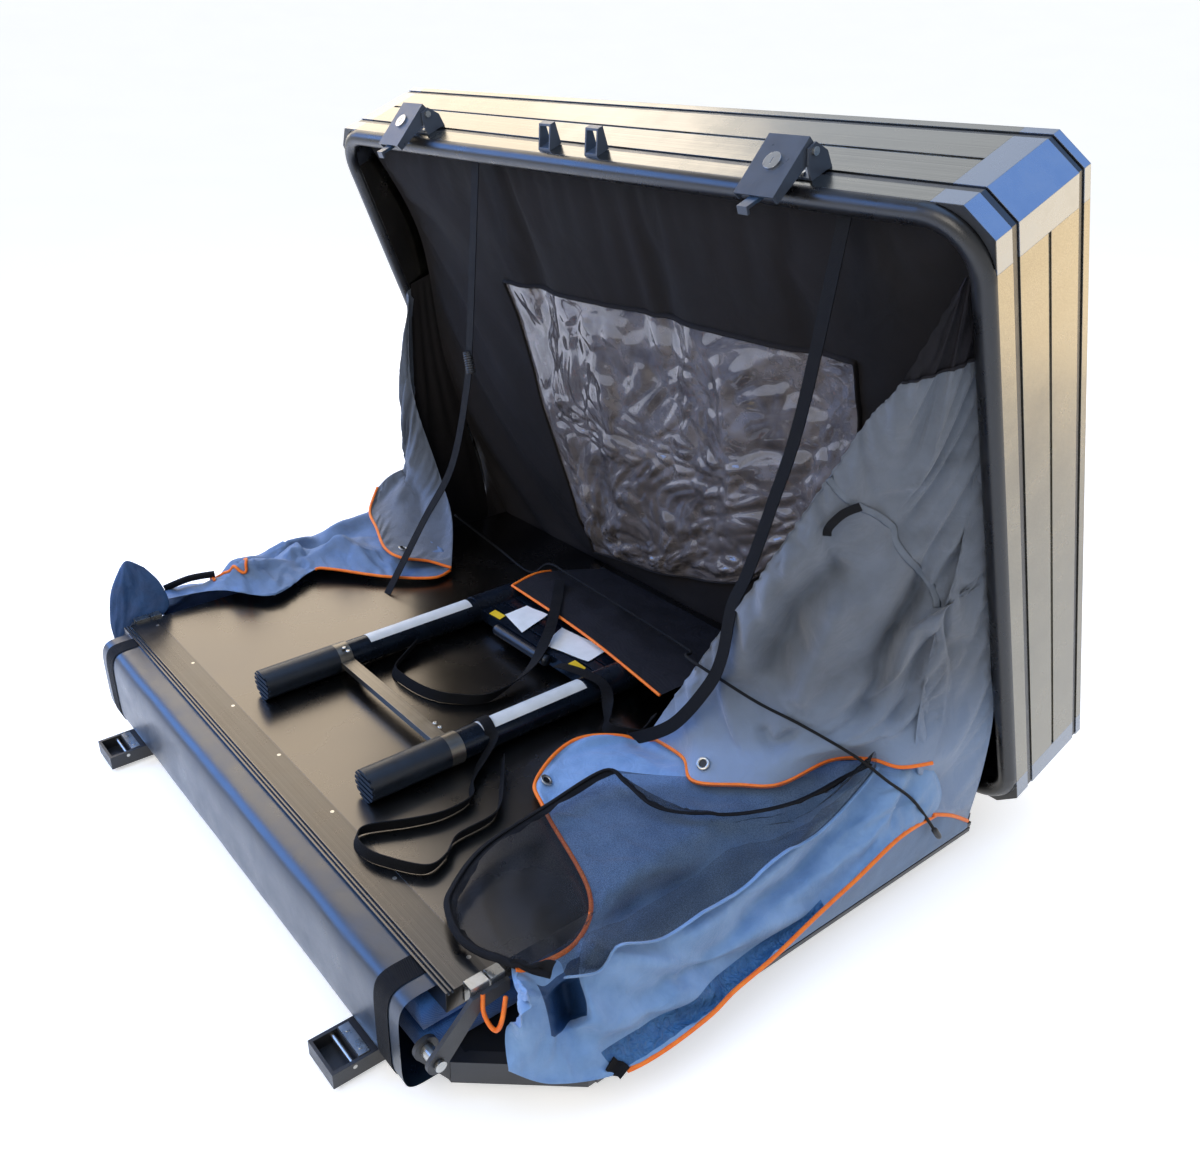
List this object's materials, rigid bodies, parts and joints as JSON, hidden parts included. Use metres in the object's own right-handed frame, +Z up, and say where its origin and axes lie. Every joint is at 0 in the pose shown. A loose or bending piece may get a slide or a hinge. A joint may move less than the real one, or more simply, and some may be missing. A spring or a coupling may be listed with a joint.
{
  "type": "roof top tent",
  "caption": "Fold-out hard-shell roof top tent with a half-open hinged lid, stowed folding floor and telescopic ladder, fabric walls, latches and mounting channels.",
  "frame": {"origin": "centre of the roof-bar bolt pattern at the underside of the mounting channels", "axes": "+X along the lid hinge to the tent's right side, +Y from the fold-out front to the hinge at the rear, +Z up"},
  "size_m": [1.8, 1.6385, 1.4062],
  "materials": {
    "lid_rail_metal": "satin anodised",
    "lid_corner_metal": "satin cast",
    "seal_rubber": "satin",
    "black_plastic": "matte",
    "hinge_metal": "satin",
    "latch_paint": "satin powder coat",
    "bright_steel": "zinc plated",
    "lock_chrome": "polished",
    "black_paint": "satin powder coat",
    "black_board": "satin black film on board",
    "raw_aluminium": "mill finish",
    "floor_metal": "satin black anodised",
    "mattress_mesh": "spacer mesh",
    "cover_vinyl": "satin vinyl",
    "ladder_black": "satin black",
    "foot_rubber": "moulded",
    "black_webbing": "flat woven",
    "inner_fabric": "coated canvas",
    "window_pvc": "crinkled clear film",
    "wall_fabric": "coated canvas",
    "cord_elastic": "braided"
  },
  "bodies": {
    "base": {"base_board": "black_board", "base_rail_front": "black_paint", "base_rail_rear": "black_paint", "base_rail_left": "black_paint", "base_rail_right": "black_paint", "base_corner_rails": "black_paint", "base_side_grooves": "raw_aluminium", "mount_channels": "raw_aluminium", "keepers": "black_paint", "keeper_pins": "bright_steel", "keeper_plates": "bright_steel", "base_hinge_leaves": "hinge_metal", "lid_hinge_pins": "bright_steel", "fold_lugs": "black_paint", "fold_bolts": "bright_steel", "fold_spacers": "bright_steel", "lower_mattress": "mattress_mesh", "hinge_cover": "cover_vinyl", "rear_wall": "inner_fabric", "window_film": "window_pvc", "wall_right": "wall_fabric", "wall_left": "wall_fabric", "skirt_right": "wall_fabric", "skirt_left": "wall_fabric", "ladder_flap": "inner_fabric", "elastic_cord": "cord_elastic"},
    "lid": {"lid_rail_front": "lid_rail_metal", "lid_rail_rear": "lid_rail_metal", "lid_rail_left": "lid_rail_metal", "lid_rail_right": "lid_rail_metal", "lid_corners": "lid_corner_metal", "lid_roof": "lid_rail_metal", "lid_seal": "seal_rubber", "lid_rim_plates": "black_plastic", "lid_hinge_leaves": "hinge_metal", "lid_hoops": "black_plastic", "latch_brackets": "latch_paint", "latch_bolts": "bright_steel", "pull_straps": "black_webbing"},
    "latch_left": {"latch_lever_left": "latch_paint", "latch_hook_left": "black_plastic"},
    "latch_right": {"latch_lever_right": "latch_paint", "latch_hook_right": "black_plastic"},
    "lock_left": {"lock_left": "lock_chrome"},
    "lock_right": {"lock_right": "lock_chrome"},
    "floor": {"floor_panel": "black_board", "floor_front_rail": "floor_metal", "floor_cover_strip": "floor_metal", "floor_screws": "bright_steel", "fold_arms": "black_paint", "fold_brackets": "bright_steel", "upper_mattress": "mattress_mesh", "ladder_strap": "black_webbing"},
    "ladder": {"ladder_section_5": "ladder_black"},
    "ladder_1": {"ladder_section_1": "ladder_black", "ladder_feet": "foot_rubber", "ladder_crossbar": "ladder_black"},
    "ladder_2": {"ladder_section_2": "ladder_black"},
    "ladder_3": {"ladder_section_3": "ladder_black"},
    "ladder_4": {"ladder_section_4": "ladder_black"}
  },
  "joints": [
    {"name": "lid_hinge", "type": "hinge", "parent": "base", "child": "lid", "pos_m": [0, 0.634, 0.044], "axis": [-1, 0, 0], "range_deg": [-68, 14], "deforming": ["rear_wall", "window_film", "wall_right", "wall_left", "skirt_right", "skirt_left", "ladder_flap", "pull_straps", "elastic_cord"]},
    {"name": "floor_fold", "type": "hinge", "parent": "base", "child": "floor", "pos_m": [0, -0.64, 0.145], "axis": [1, 0, 0], "range_deg": [0, 180], "deforming": ["hinge_cover"]},
    {"name": "latch_left_swing", "type": "hinge", "parent": "lid", "child": "latch_left", "pos_m": [-0.54, 0.19895, 1.37171], "axis": [-1, 0, 0], "range_deg": [-6, 90]},
    {"name": "latch_right_swing", "type": "hinge", "parent": "lid", "child": "latch_right", "pos_m": [0.54, 0.19895, 1.37171], "axis": [-1, 0, 0], "range_deg": [-6, 90]},
    {"name": "lock_left_turn", "type": "hinge", "parent": "latch_left", "child": "lock_left", "pos_m": [-0.54, 0.15893, 1.35615], "axis": [0, 0.7547, -0.6561], "range_deg": [0, 90]},
    {"name": "lock_right_turn", "type": "hinge", "parent": "latch_right", "child": "lock_right", "pos_m": [0.54, 0.15893, 1.35615], "axis": [0, 0.7547, -0.6561], "range_deg": [0, 90]},
    {"name": "ladder_lift", "type": "slide", "parent": "floor", "child": "ladder", "axis": [0, 0, 1], "range_m": [0, 0.4], "deforming": ["ladder_strap"]},
    {"name": "ladder_extend", "type": "slide", "parent": "ladder", "child": "ladder_1", "axis": [0, -1, 0], "range_m": [0, 1.6]},
    {"name": "ladder_follow_2", "type": "slide", "parent": "ladder", "child": "ladder_2", "axis": [0, -1, 0], "range_m": [0, 1.2]},
    {"name": "ladder_follow_3", "type": "slide", "parent": "ladder", "child": "ladder_3", "axis": [0, -1, 0], "range_m": [0, 0.8]},
    {"name": "ladder_follow_4", "type": "slide", "parent": "ladder", "child": "ladder_4", "axis": [0, -1, 0], "range_m": [0, 0.4]}
  ],
  "couplings": [
    {"joint": "ladder_follow_2", "follows": "ladder_extend", "ratio": 0.75},
    {"joint": "ladder_follow_3", "follows": "ladder_extend", "ratio": 0.5},
    {"joint": "ladder_follow_4", "follows": "ladder_extend", "ratio": 0.25}
  ]
}
